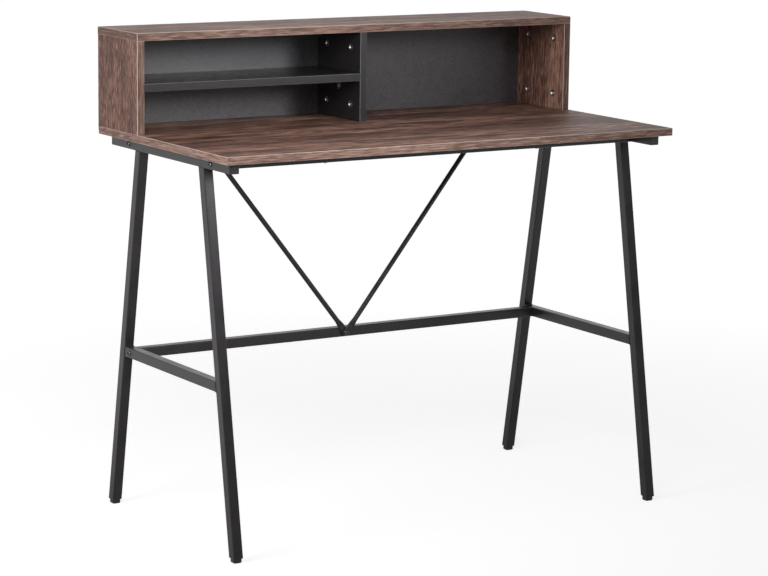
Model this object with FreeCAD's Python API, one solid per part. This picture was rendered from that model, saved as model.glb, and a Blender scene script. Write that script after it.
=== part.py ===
import FreeCAD, Part
import math
import os

# Desk with a low hutch: a laminated tabletop on two splayed steel side frames, joined by
# crossbars and a V brace, with an open hutch of boards along the rear edge.
# Millimetres. X runs across the desk to the right, Y to the back, Z up. The origin lies on the
# floor, under the middle of the whole desk.

# Tabletop
table_width = 1000.0
table_depth = 520.0
table_height = 755.0
table_board = 15.0
edge_band = 1.0
edge_chamfer = 0.7

# Hutch
hutch_height = 193.0
hutch_depth = 166.0
hutch_board = 15.0
back_thickness = 3.0
back_reveal = 1.0
back_overlap = 7.0
divider_offset = 0.0
shelf_clear_below = 81.5

# Square steel tube of the frame
tube = 20.0
tube_wall = 1.2
tube_corner = 2.0

# Places of the frame members, set in from the sides, the front and the rear of the tabletop
rail_side_inset = 17.0
rail_end_inset = 22.0
leg_inset_at_rail = 132.0
leg_inset_at_floor = 9.0
rung_centre_height = 320.0
crossbar_inset = 95.0

# Brace rods, pressed flat at both ends
rod_diameter = 10.0
tab_width = 13.5
tab_thickness = 4.0
tab_flat = 18.0
tab_swell = 14.0
tab_end_centre = 1.5
tab_chamfer = 1.0
tab_edges = 8
brace_side_inset = 172.0

# Foot glides
foot_width = 16.5
foot_corner_cut = 2.0
foot_body = 9.0
foot_flange = 2.0
foot_sole_cut = 1.8
flange_corner_cut = 1.2
insert_clearance = 0.2
foot_insert = 24.0

# Rail end caps
cap_flange = 3.0
cap_edge_cut = 0.8
cap_insert = 15.0

# Machine bolts of the frame
bolt_diameter = 6.0
bolt_hole = 6.6
bolt_head_diameter = 10.5
bolt_head_height = 3.3
bolt_head_rim = 1.2
bolt_socket = 4.0
bolt_socket_depth = 2.0
bolt_past_thread = 3.0
nut_across_flats = 10.0
nut_height = 5.0
end_plate = 4.0
thread_clearance = 0.1

# Screws up through the crossbars into the tabletop
table_screw_side_inset = 260.0
table_screw_diameter = 4.2
table_screw_head = 9.0
table_screw_head_height = 2.6
table_screw_grip = 11.0

# Cam locks and their bolts in the hutch uprights
cam_diameter = 15.0
cam_skin = 2.7
cam_edge_inset = 37.0
cam_setback = 32.0
cam_cross_length = 9.0
cam_cross_width = 1.6
cam_cross_depth = 2.0
cam_bolt_head = 7.0
cam_bolt_head_length = 3.0
cam_bolt_neck = 4.0
cam_bolt_neck_length = 5.0
cam_bolt_shank = 5.6
cam_bolt_thread = 6.0
cam_bolt_grip = 11.0

# Wooden dowels
upright_dowel_diameter = 8.0
upright_dowel_length = 30.0
upright_dowel_in_panel = 10.0
shelf_dowel_diameter = 6.0
shelf_dowel_length = 25.0
shelf_dowel_in_upright = 10.0
shelf_dowel_inset = 37.0

# Steel angles under the shelf and their screws
bracket_leg = 24.0
bracket_width = 12.0
bracket_thickness = 1.6
bracket_tip_cut = 3.5
bracket_bend = 2.4
bracket_screw_inset = 7.5
bracket_screw_diameter = 3.5
bracket_screw_head = 6.6
bracket_screw_head_height = 2.2
bracket_screw_grip = 11.0

# Nails of the back panel
nail_diameter = 1.6
nail_length = 20.0
nail_head_diameter = 3.4
nail_head_height = 0.8
nail_end_inset = 25.0
nails_per_upright = 3

# Room round a fitting in its hole: on each side of a close or a loose one, and below its end
fit_clearance = 0.1
loose_clearance = 0.2
hole_end_room = 0.3

# Flats that stand for the round of a fitting or of its hole, where it shows and where it is hidden
shown_flat_count = 12
hidden_flat_count = 6
hexagon_flat_count = 6

# Worked out from the sizes above
vector = FreeCAD.Vector
up = vector(0, 0, 1)
down = vector(0, 0, -1)
right = vector(1, 0, 0)
left = vector(-1, 0, 0)
to_back = vector(0, 1, 0)
to_front = vector(0, -1, 0)

table_front = -(table_depth + back_thickness) / 2
table_rear = table_front + table_depth
table_middle = table_front + table_depth / 2
table_half = table_width / 2
table_underside = table_height - table_board

hutch_front = table_rear - hutch_depth
hutch_roof = table_height + hutch_height
hutch_ceiling = hutch_roof - hutch_board
side_inner = table_half - hutch_board
divider_left = divider_offset - hutch_board / 2
divider_right = divider_offset + hutch_board / 2
shelf_underside = table_height + shelf_clear_below
shelf_top = shelf_underside + hutch_board
cam_depth = hutch_board - cam_skin - hole_end_room
cam_bolt_hole = cam_bolt_head + 2 * loose_clearance
hutch_middle = hutch_front + hutch_depth / 2

tube_bore = tube - 2 * tube_wall
insert_width = tube_bore - 2 * insert_clearance
rail_outer = table_half - rail_side_inset
rail_centre = rail_outer - tube / 2
rail_inner = rail_outer - tube
rail_half = table_depth / 2 - rail_end_inset
rail_underside = table_underside - tube
rail_level = table_underside - tube / 2
leg_out_at_floor = table_depth / 2 - leg_inset_at_floor
leg_out_at_rail = table_depth / 2 - leg_inset_at_rail
leg_lean = math.atan((leg_out_at_floor - leg_out_at_rail) / rail_underside)
foot_top = foot_body + foot_flange
crossbar_front = table_front + crossbar_inset
crossbar_rear = table_rear - crossbar_inset
brace_seat = crossbar_rear - tube / 2
brace_reach = table_half - brace_side_inset

uprights = (
    (-table_half + hutch_board / 2, right),
    (divider_offset, left),
    (table_half - hutch_board / 2, left),
)


def box(x0, x1, y0, y1, z0, z1):
    return Part.makeBox(x1 - x0, y1 - y0, z1 - z0, vector(x0, y0, z0))


def flat_face(corners):
    return Part.Face(Part.makePolygon(corners + corners[:1]))


def bar(diameter, length, flats):
    """A bar with flats for its round, along Z from the origin; the diameter is over its corners."""
    turns = [math.pi * (2 * corner + 1) / flats for corner in range(flats)]
    corners = [vector(math.cos(turn), math.sin(turn), 0) * (diameter / 2) for turn in turns]
    return flat_face(corners).extrude(up * length)


def hexagon_bar(across_flats, length):
    return bar(across_flats / math.cos(math.pi / hexagon_flat_count), length, hexagon_flat_count)


def stack(steps):
    """Bars end to end along Z from the origin, each given as its diameter and length."""
    level = 0
    bars = []
    for diameter, length in steps:
        bars.append(place(bar(diameter, length, hidden_flat_count), up * level, up))
        level += length
    return bars[0].fuse(bars[1:]).removeSplitter()


def place(shape, position, direction):
    """Turn a shape made along +Z to a direction, and move its origin to a position."""
    placed = shape.copy()
    placed.Placement = FreeCAD.Placement(position, FreeCAD.Rotation(up, direction)) * shape.Placement
    return placed


def drill(shape, diameter, length, start, direction, flats=hidden_flat_count):
    return shape.cut(place(bar(diameter, length, flats), start, direction))


def square_bar(width, length):
    """A solid bar along Z from the origin."""
    return Part.makeBox(width, width, length, vector(-width / 2, -width / 2, 0))


def long_corners(square, length):
    return [edge for edge in square.Edges if edge.BoundBox.ZLength > length / 2]


def corner_cut_bar(width, corner_cut, length):
    """A solid bar along Z with its four long corners cut off."""
    whole = square_bar(width, length)
    return whole.makeChamfer(corner_cut, long_corners(whole, length))


def square_tube(length):
    """The frame's square tube with rounded corners, along Z from the origin."""
    outside = square_bar(tube, length)
    outside = outside.makeFillet(tube_corner, long_corners(outside, length))
    return outside.cut(square_bar(tube_bore, length))


def socket_bolt(length):
    """A button-head bolt along Z: the head stands above the origin, the shank hangs below it."""
    head = bar(bolt_head_diameter, bolt_head_height, shown_flat_count)
    crown = [edge for edge in head.Edges if edge.BoundBox.ZMin > bolt_head_height / 2]
    head = head.makeChamfer(bolt_head_height - bolt_head_rim, crown)
    socket = place(hexagon_bar(bolt_socket, bolt_socket_depth),
                   up * (bolt_head_height - bolt_socket_depth), up)
    shank = place(bar(bolt_diameter, length, hidden_flat_count), down * length, up)
    return head.cut(socket).fuse(shank).removeSplitter()


def wood_screw(diameter, length, head_diameter, head_height):
    """A pan-head screw along Z, seated at the origin with its shank below."""
    screw = stack([(diameter, length), (head_diameter, head_height)])
    return place(screw, down * length, up)


def leg_axis(height):
    """Distance of a leg's axis from the frame's middle plane, at a height above the floor."""
    return leg_out_at_floor - math.tan(leg_lean) * height


def leg_inner_face(height):
    return leg_axis(height) - tube / 2 / math.cos(leg_lean)


def leaning(upright_bar, x, end):
    """Stand a bar made along Z on a leg's axis; end is -1 for a front leg and 1 for a rear leg."""
    leaned = upright_bar.copy()
    leaned.rotate(vector(0, 0, 0), right, end * math.degrees(leg_lean))
    leaned.translate(vector(x, table_middle + end * leg_axis(0), 0))
    return leaned


def between_levels(shape, low, high):
    """Keep the part of a shape between two levels."""
    room = shape.BoundBox
    room.enlarge(tube)
    return shape.common(box(room.XMin, room.XMax, room.YMin, room.YMax, low, high))


# Boards

def cam_places():
    """Front and rear places of the cam locks in an upright."""
    return (hutch_front + cam_edge_inset, table_rear - cam_edge_inset)


def upright_ends():
    """Level of each end of an upright, with the direction out of that end."""
    return ((table_height, down), (hutch_ceiling, up))


def bore_for_uprights(panel, level, out):
    """Blind holes in a panel for the cam bolts and dowels of the uprights that meet it there."""
    for x, facing in uprights:
        for y in cam_places():
            panel = drill(panel, cam_bolt_thread + 2 * fit_clearance, cam_bolt_grip + hole_end_room,
                          vector(x, y, level), out)
        panel = drill(panel, upright_dowel_diameter + 2 * fit_clearance,
                      upright_dowel_in_panel + hole_end_room, vector(x, hutch_middle, level), out)
    return panel


def make_tabletop():
    board = core_board(table_front, table_rear, table_underside, table_height)
    board = bore_for_uprights(board, table_height, down)
    for x, y in table_screw_places():
        board = drill(board, table_screw_diameter + 2 * fit_clearance,
                      table_screw_grip + hole_end_room, vector(x, y, table_underside), up)
    return board


def core_board(front, rear, low, high):
    """A full-width board without its edge strips."""
    return box(-table_half + edge_band, table_half - edge_band, front + edge_band,
               rear - edge_band, low, high)


def bands_round(front, rear, low, high):
    """Four edge strips round a full-width board, with their outer edges bevelled."""
    whole = box(-table_half, table_half, front, rear, low, high)
    whole = whole.makeChamfer(edge_chamfer, whole.Edges)
    inner = table_half - edge_band
    places = (
        (-table_half, table_half, front, front + edge_band),
        (-table_half, table_half, rear - edge_band, rear),
        (-table_half, -inner, front + edge_band, rear - edge_band),
        (inner, table_half, front + edge_band, rear - edge_band),
    )
    return Part.Compound([whole.common(box(*place_box, low, high)) for place_box in places])


def make_hutch_top():
    board = core_board(hutch_front, table_rear + back_thickness, hutch_ceiling, hutch_roof)
    return bore_for_uprights(board, hutch_ceiling, up)


def make_upright(centre, facing):
    """A side or the divider, bored for its cam locks, cam bolts and dowels."""
    board = box(centre - hutch_board / 2, centre + hutch_board / 2, hutch_front + edge_band,
                table_rear, table_height, hutch_ceiling)
    face = centre + facing.x * hutch_board / 2
    for level, out in upright_ends():
        for y in cam_places():
            cam = vector(face, y, level - out.z * cam_setback)
            board = drill(board, cam_diameter + 2 * fit_clearance, cam_depth + hole_end_room,
                          cam, facing * -1, shown_flat_count)
            board = drill(board, cam_bolt_hole, cam_setback + cam_bolt_head_length,
                          vector(centre, y, level), out * -1)
        board = drill(board, upright_dowel_diameter + 2 * fit_clearance,
                      upright_dowel_length - upright_dowel_in_panel + hole_end_room,
                      vector(centre, hutch_middle, level), out * -1)
    return board


def bore_shelf_fittings_into(board, face, inward):
    """Holes in an upright for the shelf's dowels and for the screw of its bracket."""
    for y in shelf_dowel_places():
        board = drill(board, shelf_dowel_diameter + 2 * fit_clearance,
                      shelf_dowel_in_upright + hole_end_room,
                      vector(face, y, shelf_underside + hutch_board / 2), inward)
    return drill(board, bracket_screw_diameter + 2 * fit_clearance,
                 bracket_screw_grip + hole_end_room,
                 vector(face, hutch_middle, bracket_screw_level()), inward)


def shelf_dowel_places():
    return (hutch_front + shelf_dowel_inset, table_rear - shelf_dowel_inset)


def bracket_screw_level():
    return shelf_underside - bracket_leg + bracket_screw_inset


def shelf_ends():
    """Each end of the shelf, with the direction from the shelf into the upright there."""
    return ((-side_inner, left), (divider_left, right))


def make_shelf():
    board = box(-side_inner, divider_left, hutch_front + edge_band, table_rear,
                shelf_underside, shelf_top)
    for face, inward in shelf_ends():
        for y in shelf_dowel_places():
            board = drill(board, shelf_dowel_diameter + 2 * fit_clearance,
                          shelf_dowel_length - shelf_dowel_in_upright + hole_end_room,
                          vector(face, y, shelf_underside + hutch_board / 2), inward * -1)
        board = drill(board, bracket_screw_diameter + 2 * fit_clearance,
                      bracket_screw_grip + hole_end_room,
                      vector(bracket_shelf_screw_x(face, inward), hutch_middle, shelf_underside), up)
    return board


def bracket_shelf_screw_x(face, inward):
    return face - inward.x * (bracket_leg - bracket_screw_inset)


def front_band(x0, x1, z0, z1):
    """An edge strip on the front of a hutch board, with its long outer edges bevelled."""
    band = box(x0, x1, hutch_front, hutch_front + edge_band, z0, z1)
    long_side = max(x1 - x0, z1 - z0)
    outer = [edge for edge in band.Edges
             if edge.Length > long_side / 2 and edge.CenterOfMass.y < hutch_front + edge_band / 2]
    return band.makeChamfer(edge_chamfer, outer)


def nail_places():
    """Nail places on the back panel, up each upright."""
    low = table_height + nail_end_inset
    step = (hutch_ceiling - nail_end_inset - low) / (nails_per_upright - 1)
    return [(x, low + step * count) for x, facing in uprights for count in range(nails_per_upright)]


def back_panel_nail():
    """A flat-head nail along Z: the head's face lies at the origin, the shank hangs below it."""
    nail = stack([(nail_diameter, nail_length - nail_head_height), (nail_head_diameter, nail_head_height)])
    return place(nail, down * nail_length, up)


def make_back_panel():
    """The panel on the rear edges of the uprights; it laps over the rear edge of the tabletop."""
    panel = box(-table_half + back_reveal, table_half - back_reveal, table_rear,
                table_rear + back_thickness, table_height - back_overlap, hutch_ceiling)
    return nail_holes_in(panel)


def nail_holes_in(board):
    """Holes for the back panel's nails, in the panel or in a board behind it."""
    rear = table_rear + back_thickness
    for x, z in nail_places():
        board = drill(board, nail_diameter + 2 * fit_clearance, nail_length + hole_end_room,
                      vector(x, rear, z), to_front)
        board = drill(board, nail_head_diameter + 2 * fit_clearance, nail_head_height,
                      vector(x, rear, z), to_front)
    return board


# Steel frame

def make_rail(side):
    """A top rail with its two bolt holes; side is -1 on the left and 1 on the right."""
    length = 2 * (rail_half - cap_flange)
    rail = place(square_tube(length), vector(side * rail_centre, table_middle - length / 2, rail_level),
                 to_back)
    for y in (crossbar_front, crossbar_rear):
        rail = drill(rail, bolt_hole, tube, vector(side * rail_inner, y, rail_level), right * side)
    return rail


def make_leg(side, end):
    """A leaning leg, cut level at the rail and at the foot."""
    length = table_height / math.cos(leg_lean)
    return between_levels(leaning(square_tube(length), side * rail_centre, end), foot_top, rail_underside)


def make_rung(side):
    """The bar between a front and a rear leg, its ends cut to the lean of the legs."""
    low = rung_centre_height - tube / 2
    high = rung_centre_height + tube / 2
    corners = [(-1, low), (1, low), (1, high), (-1, high)]
    points = [vector(side * rail_centre - tube, table_middle + end * leg_inner_face(z), z)
              for end, z in corners]
    reach = flat_face(points).extrude(right * 2 * tube)
    length = 2 * leg_axis(low)
    whole = place(square_tube(length), vector(side * rail_centre, table_middle - length / 2,
                                              rung_centre_height), to_back)
    rung = whole.common(reach)
    return drill(rung, bolt_hole, tube, vector(side * rail_inner, crossbar_rear, rung_centre_height),
                 right * side)


def make_crossbar(y, level):
    length = 2 * rail_inner
    return place(square_tube(length), vector(-rail_inner, y, level), right)


def table_screw_places():
    return [(side * (table_half - table_screw_side_inset), y) for y in (crossbar_front, crossbar_rear)
            for side in (-1, 1)]


def make_table_crossbar(y):
    """A crossbar under the tabletop, drilled for the tabletop screws."""
    crossbar = make_crossbar(y, rail_level)
    for x, screw_y in table_screw_places():
        if screw_y == y:
            crossbar = drill(crossbar, table_screw_diameter + 2 * loose_clearance, tube,
                             vector(x, y, rail_underside), up)
    return crossbar


def drill_for_brace(crossbar, x, level):
    return drill(crossbar, bolt_hole, tube, vector(x, brace_seat, level), to_back)


def crossbar_ends():
    """Each bolted crossbar end: side, place across the desk's depth, and level."""
    members = ((crossbar_front, rail_level), (crossbar_rear, rail_level),
               (crossbar_rear, rung_centre_height))
    return [(side, y, level) for y, level in members for side in (-1, 1)]


def make_end_plate(side, y, level):
    """A threaded plate welded into a crossbar's end."""
    plate = square_bar(insert_width, end_plate)
    plate = drill(plate, bolt_diameter + 2 * thread_clearance, end_plate, vector(0, 0, 0), up)
    return place(plate, vector(side * rail_inner, y, level), left * side)


def make_crossbar_bolt(side, y, level):
    length = tube + end_plate + bolt_past_thread
    return place(socket_bolt(length), vector(side * rail_outer, y, level), right * side)


# V brace

def brace_rise():
    return rail_level - rung_centre_height


def brace_length():
    return math.hypot(brace_reach, brace_rise())


def flat_section(along, offset):
    """The pressed section with bevelled edges, square to the rod."""
    wide = tab_width / 2
    thick = tab_thickness / 2
    outline = [(wide, -thick + tab_chamfer), (wide, thick - tab_chamfer), (wide - tab_chamfer, thick)]
    outline += [(-y, z) for y, z in reversed(outline)]
    outline += [(y, -z) for y, z in ((-wide + tab_chamfer, thick), (wide - tab_chamfer, thick))]
    corners = [vector(along, y, offset + z) for y, z in outline]
    return Part.makePolygon(corners + corners[:1])


def round_section(along, offset):
    """The rod's round section, in as many arcs as the pressed section has edges."""
    radius = rod_diameter / 2
    arc = math.tau / tab_edges

    def point(turn):
        return vector(along, radius * math.cos(turn), offset + radius * math.sin(turn))

    middles = [arc * count for count in range(tab_edges)]
    return Part.Wire([Part.Arc(point(middle - arc / 2), point(middle), point(middle + arc / 2)).toShape()
                      for middle in middles])


def tab_end(along, offset):
    """The rounded end of a pressed tab, a disc with bevelled rims."""
    disc = Part.makeCylinder(tab_width / 2, tab_thickness, vector(along, 0, offset - tab_thickness / 2))
    rims = [edge for edge in disc.Edges if edge.BoundBox.ZLength < fit_clearance]
    return disc.makeChamfer(tab_chamfer, rims)


def make_brace(side, lower_lift):
    """A brace rod from the lower crossbar's middle bolt to the rear crossbar.

    The rod is made along X with its tabs facing Z, and lower_lift holds its lower tab that far
    off the lower crossbar, to lie on the other rod's tab."""
    length = brace_length()
    low = lower_lift + tab_thickness / 2
    high = tab_thickness / 2
    sections = [
        flat_section(-tab_end_centre, low),
        flat_section(tab_flat, low),
        round_section(tab_flat + tab_swell, low),
        round_section(length - tab_flat - tab_swell, high),
        flat_section(length - tab_flat, high),
        flat_section(length + tab_end_centre, high),
    ]
    rod = Part.makeLoft(sections, True, True)
    rod = rod.fuse([tab_end(-tab_end_centre, low), tab_end(length + tab_end_centre, high)])
    for along, offset in ((0, low), (length, high)):
        rod = drill(rod, bolt_hole, tab_thickness, vector(along, 0, offset - tab_thickness / 2), up)
    along_rod = vector(side * brace_reach, 0, brace_rise()).normalize()
    across_rod = to_front.cross(along_rod)
    turn = FreeCAD.Matrix(along_rod.x, across_rod.x, to_front.x, 0,
                          along_rod.y, across_rod.y, to_front.y, brace_seat,
                          along_rod.z, across_rod.z, to_front.z, rung_centre_height,
                          0, 0, 0, 1)
    return rod.removeSplitter().transformed(turn, True)


def brace_bolt_places():
    """Each brace bolt: place across the desk, level, and thickness of tabs that it holds."""
    return ((0, rung_centre_height, 2 * tab_thickness),
            (-brace_reach, rail_level, tab_thickness),
            (brace_reach, rail_level, tab_thickness))


def make_brace_bolt(x, level, tabs):
    length = tabs + tube + nut_height + bolt_past_thread
    return place(socket_bolt(length), vector(x, brace_seat - tabs, level), to_front)


def make_brace_nut(x, level):
    nut = hexagon_bar(nut_across_flats, nut_height)
    nut = drill(nut, bolt_diameter + 2 * thread_clearance, nut_height, vector(0, 0, 0), up)
    return place(nut, vector(x, brace_seat + tube, level), to_back)


# Plastic ends

def make_foot(side, end):
    """A glide: a level foot, a flange under the tube's end, and an insert up inside the tube."""
    x = side * rail_centre
    reach = 2 * (foot_top + foot_insert)
    flange = between_levels(leaning(corner_cut_bar(tube, flange_corner_cut, reach), x, end),
                            foot_body, foot_top)
    insert = between_levels(leaning(square_bar(insert_width, reach), x, end),
                            foot_top, foot_top + foot_insert)
    body = corner_cut_bar(foot_width, foot_corner_cut, foot_body)
    sole = [edge for edge in body.Edges if edge.BoundBox.ZMax < foot_body / 2]
    body = body.makeChamfer(foot_sole_cut, sole)
    body.translate(vector(x, table_middle + end * leg_axis(foot_body), 0))
    return body.fuse([flange, insert]).removeSplitter()


def make_rail_cap(side, end):
    """An end cap: a flange over the rail's end and an insert inside it."""
    flange = corner_cut_bar(tube, flange_corner_cut, cap_flange)
    face = [edge for edge in flange.Edges if edge.BoundBox.ZMin > cap_flange / 2]
    flange = flange.makeChamfer(cap_edge_cut, face)
    insert = place(square_bar(insert_width, cap_insert), down * cap_insert, up)
    seat = vector(side * rail_centre, table_middle + end * (rail_half - cap_flange), rail_level)
    return place(flange.fuse(insert).removeSplitter(), seat, to_back * end)


# Hutch fittings

def cam_lock():
    """A cam lock along Z: its slotted face lies at the origin, its bolt comes in along +X."""
    barrel = place(bar(cam_diameter, cam_depth, shown_flat_count), down * cam_depth, up)
    mouth = place(bar(cam_bolt_hole, cam_diameter / 2 + cam_bolt_head_length, hidden_flat_count),
                  vector(-cam_bolt_head_length, 0, -hutch_board / 2), right)
    half = cam_cross_length / 2
    arm = cam_cross_width / 2
    cross = box(-half, half, -arm, arm, -cam_cross_depth, 0).fuse(
        box(-arm, arm, -half, half, -cam_cross_depth, 0))
    return barrel.cut([mouth, cross])


def make_cam_lock(centre, facing, y, level, out):
    """Seat a cam lock in an upright's face, with its mouth towards the upright's end."""
    face = centre + facing.x * hutch_board / 2
    across = facing.cross(out)
    turn = FreeCAD.Matrix(out.x, across.x, facing.x, face,
                          out.y, across.y, facing.y, y,
                          out.z, across.z, facing.z, level - out.z * cam_setback,
                          0, 0, 0, 1)
    return cam_lock().transformed(turn, True)


def cam_bolt():
    """A cam bolt along Z from the joint: threaded end above, shank, neck and head below."""
    head_end = cam_setback + cam_bolt_head_length / 2
    shank = head_end - cam_bolt_head_length - cam_bolt_neck_length
    bolt = stack([(cam_bolt_head, cam_bolt_head_length), (cam_bolt_neck, cam_bolt_neck_length),
                  (cam_bolt_shank, shank), (cam_bolt_thread, cam_bolt_grip)])
    return place(bolt, down * head_end, up)


def cam_joints():
    """Each cam joint: upright's centre, the way its face looks, depth place, level and way out."""
    return [(centre, facing, y, level, out) for centre, facing in uprights
            for level, out in upright_ends() for y in cam_places()]


def make_upright_dowels():
    dowels = []
    for centre, facing in uprights:
        for level, out in upright_ends():
            start = level - out.z * (upright_dowel_length - upright_dowel_in_panel)
            dowels.append(place(bar(upright_dowel_diameter, upright_dowel_length, hidden_flat_count),
                                vector(centre, hutch_middle, start), out))
    return dowels


def make_shelf_dowels():
    dowels = []
    for face, inward in shelf_ends():
        start = face - inward.x * (shelf_dowel_length - shelf_dowel_in_upright)
        for y in shelf_dowel_places():
            dowels.append(place(bar(shelf_dowel_diameter, shelf_dowel_length, hidden_flat_count),
                                vector(start, y, shelf_underside + hutch_board / 2), inward))
    return dowels


def make_shelf_bracket(face, inward):
    """A steel angle in the corner under the shelf, one leg on the upright, one on the shelf."""
    away = inward.x * -1
    corner = vector(face, hutch_middle - bracket_width / 2, shelf_underside)
    outline = [
        corner,
        corner + right * away * bracket_leg,
        corner + vector(away * bracket_leg, 0, -bracket_thickness),
        corner + vector(away * bracket_thickness, 0, -bracket_thickness),
        corner + vector(away * bracket_thickness, 0, -bracket_leg),
        corner + down * bracket_leg,
    ]
    angle = flat_face(outline).extrude(to_back * bracket_width)
    bend = [edge for edge in angle.Edges
            if edge.CenterOfMass.isEqual(corner + to_back * bracket_width / 2, bracket_thickness / 2)]
    angle = angle.makeFillet(bracket_bend, bend)
    reach = bracket_leg - bracket_thickness / 2
    tips = [edge for edge in angle.Edges
            if edge.Length < 2 * bracket_thickness
            and (abs(edge.CenterOfMass.x - face) > reach or shelf_underside - edge.CenterOfMass.z > reach)
            and abs(abs(edge.CenterOfMass.y - hutch_middle) - bracket_width / 2) < fit_clearance]
    angle = angle.makeChamfer(bracket_tip_cut, tips)
    hole = bracket_screw_diameter + 2 * loose_clearance
    angle = drill(angle, hole, bracket_thickness,
                  vector(bracket_shelf_screw_x(face, inward), hutch_middle, shelf_underside), down)
    return drill(angle, hole, bracket_thickness, vector(face, hutch_middle, bracket_screw_level()),
                 inward * -1)


def make_bracket_screws():
    screw = wood_screw(bracket_screw_diameter, bracket_thickness + bracket_screw_grip,
                       bracket_screw_head, bracket_screw_head_height)
    screws = []
    for face, inward in shelf_ends():
        away = inward * -1
        screws.append(place(screw, vector(bracket_shelf_screw_x(face, inward), hutch_middle,
                                          shelf_underside - bracket_thickness), down))
        screws.append(place(screw, vector(face + away.x * bracket_thickness, hutch_middle,
                                          bracket_screw_level()), away))
    return screws


def make_table_screws():
    screw = wood_screw(table_screw_diameter, tube + table_screw_grip, table_screw_head,
                       table_screw_head_height)
    return [place(screw, vector(x, y, rail_underside), down) for x, y in table_screw_places()]


def make_nails():
    rear = table_rear + back_thickness
    return [place(back_panel_nail(), vector(x, rear, z), to_back) for x, z in nail_places()]


# All pieces, by the names of their nodes

def make_pieces():
    left_upright, divider, right_upright = [nail_holes_in(make_upright(centre, facing))
                                            for centre, facing in uprights]
    rear_crossbar = make_table_crossbar(crossbar_rear)
    for side in (-1, 1):
        rear_crossbar = drill_for_brace(rear_crossbar, side * brace_reach, rail_level)
    pieces = {
        "tabletop": make_tabletop(),
        "tabletop_edge_bands": bands_round(table_front, table_rear, table_underside, table_height),
        "hutch_top": make_hutch_top(),
        "hutch_top_edge_bands": bands_round(hutch_front, table_rear + back_thickness,
                                            hutch_ceiling, hutch_roof),
        "hutch_left_side": bore_shelf_fittings_into(left_upright, -side_inner, left),
        "hutch_right_side": right_upright,
        "hutch_side_edge_bands": Part.Compound([
            front_band(-table_half, -side_inner, table_height, hutch_ceiling),
            front_band(side_inner, table_half, table_height, hutch_ceiling),
        ]),
        "hutch_divider": bore_shelf_fittings_into(divider, divider_left, right),
        "divider_edge_band": front_band(divider_left, divider_right, table_height, hutch_ceiling),
        "hutch_shelf": make_shelf(),
        "shelf_edge_band": front_band(-side_inner, divider_left, shelf_underside, shelf_top),
        "hutch_back_panel": make_back_panel(),
        "front_crossbar": make_table_crossbar(crossbar_front),
        "rear_crossbar": rear_crossbar,
        "lower_crossbar": drill_for_brace(make_crossbar(crossbar_rear, rung_centre_height),
                                          0, rung_centre_height),
        "left_brace_rod": make_brace(-1, 0),
        "right_brace_rod": make_brace(1, tab_thickness),
        "cam_locks": Part.Compound([make_cam_lock(*joint) for joint in cam_joints()]),
        "cam_bolts": Part.Compound([place(cam_bolt(), vector(centre, y, level), out)
                                    for centre, facing, y, level, out in cam_joints()]),
        "upright_dowels": Part.Compound(make_upright_dowels()),
        "shelf_dowels": Part.Compound(make_shelf_dowels()),
        "shelf_brackets": Part.Compound([make_shelf_bracket(*end) for end in shelf_ends()]),
        "shelf_bracket_screws": Part.Compound(make_bracket_screws()),
        "back_panel_nails": Part.Compound(make_nails()),
        "tabletop_screws": Part.Compound(make_table_screws()),
        "crossbar_end_plates": Part.Compound([make_end_plate(*end) for end in crossbar_ends()]),
        "crossbar_bolts": Part.Compound([make_crossbar_bolt(*end) for end in crossbar_ends()]),
        "brace_bolts": Part.Compound([make_brace_bolt(*bolt) for bolt in brace_bolt_places()]),
        "brace_nuts": Part.Compound([make_brace_nut(x, level) for x, level, tabs in brace_bolt_places()]),
    }
    for side_name, side in (("left", -1), ("right", 1)):
        pieces[f"{side_name}_top_rail"] = make_rail(side)
        pieces[f"{side_name}_side_rung"] = make_rung(side)
        for end_name, end in (("front", -1), ("rear", 1)):
            pieces[f"{end_name}_{side_name}_leg"] = make_leg(side, end)
            pieces[f"{end_name}_{side_name}_foot"] = make_foot(side, end)
            pieces[f"{end_name}_{side_name}_rail_cap"] = make_rail_cap(side, end)
    return pieces


os.makedirs("parts", exist_ok=True)
for name, shape in make_pieces().items():
    shape.exportStep(f"parts/{name}.step")
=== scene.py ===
# %% [markdown]
# A desk with a low hutch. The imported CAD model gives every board, tube and fitting at its real
# size, in metres, with the floor at zero. This lesson keeps those shapes and gives them their
# looks: wood decor, powder coat, zinc and plastic. It also makes the small things that a solid
# model leaves plain, such as bolt heads, cam locks and weld beads.

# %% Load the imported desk
import math

import bmesh
import bpy
from mathutils import Matrix, Vector


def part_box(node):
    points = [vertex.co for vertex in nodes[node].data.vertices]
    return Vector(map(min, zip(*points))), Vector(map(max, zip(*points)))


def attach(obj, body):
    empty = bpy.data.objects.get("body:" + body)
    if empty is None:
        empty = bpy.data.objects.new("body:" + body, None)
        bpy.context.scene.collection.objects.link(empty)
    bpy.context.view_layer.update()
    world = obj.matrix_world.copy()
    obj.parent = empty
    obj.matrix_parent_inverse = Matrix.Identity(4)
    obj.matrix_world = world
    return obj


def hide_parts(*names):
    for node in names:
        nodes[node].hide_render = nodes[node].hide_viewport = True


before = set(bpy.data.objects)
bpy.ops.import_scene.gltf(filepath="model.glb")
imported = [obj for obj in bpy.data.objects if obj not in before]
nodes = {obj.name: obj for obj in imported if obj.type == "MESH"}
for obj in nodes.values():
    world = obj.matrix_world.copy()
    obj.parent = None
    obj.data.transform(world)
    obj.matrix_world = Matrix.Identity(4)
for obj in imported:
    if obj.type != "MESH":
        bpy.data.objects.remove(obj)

MM = 0.001
scene = bpy.context.scene
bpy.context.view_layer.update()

# %% [markdown]
# The camera stands where the photographer stood: to the left of the desk, a little above the
# tabletop and well back, with a long lens. Straight edges of the desk were matched to the picture
# to find this place, so nothing needs to be shifted or stretched in the frame.

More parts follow.
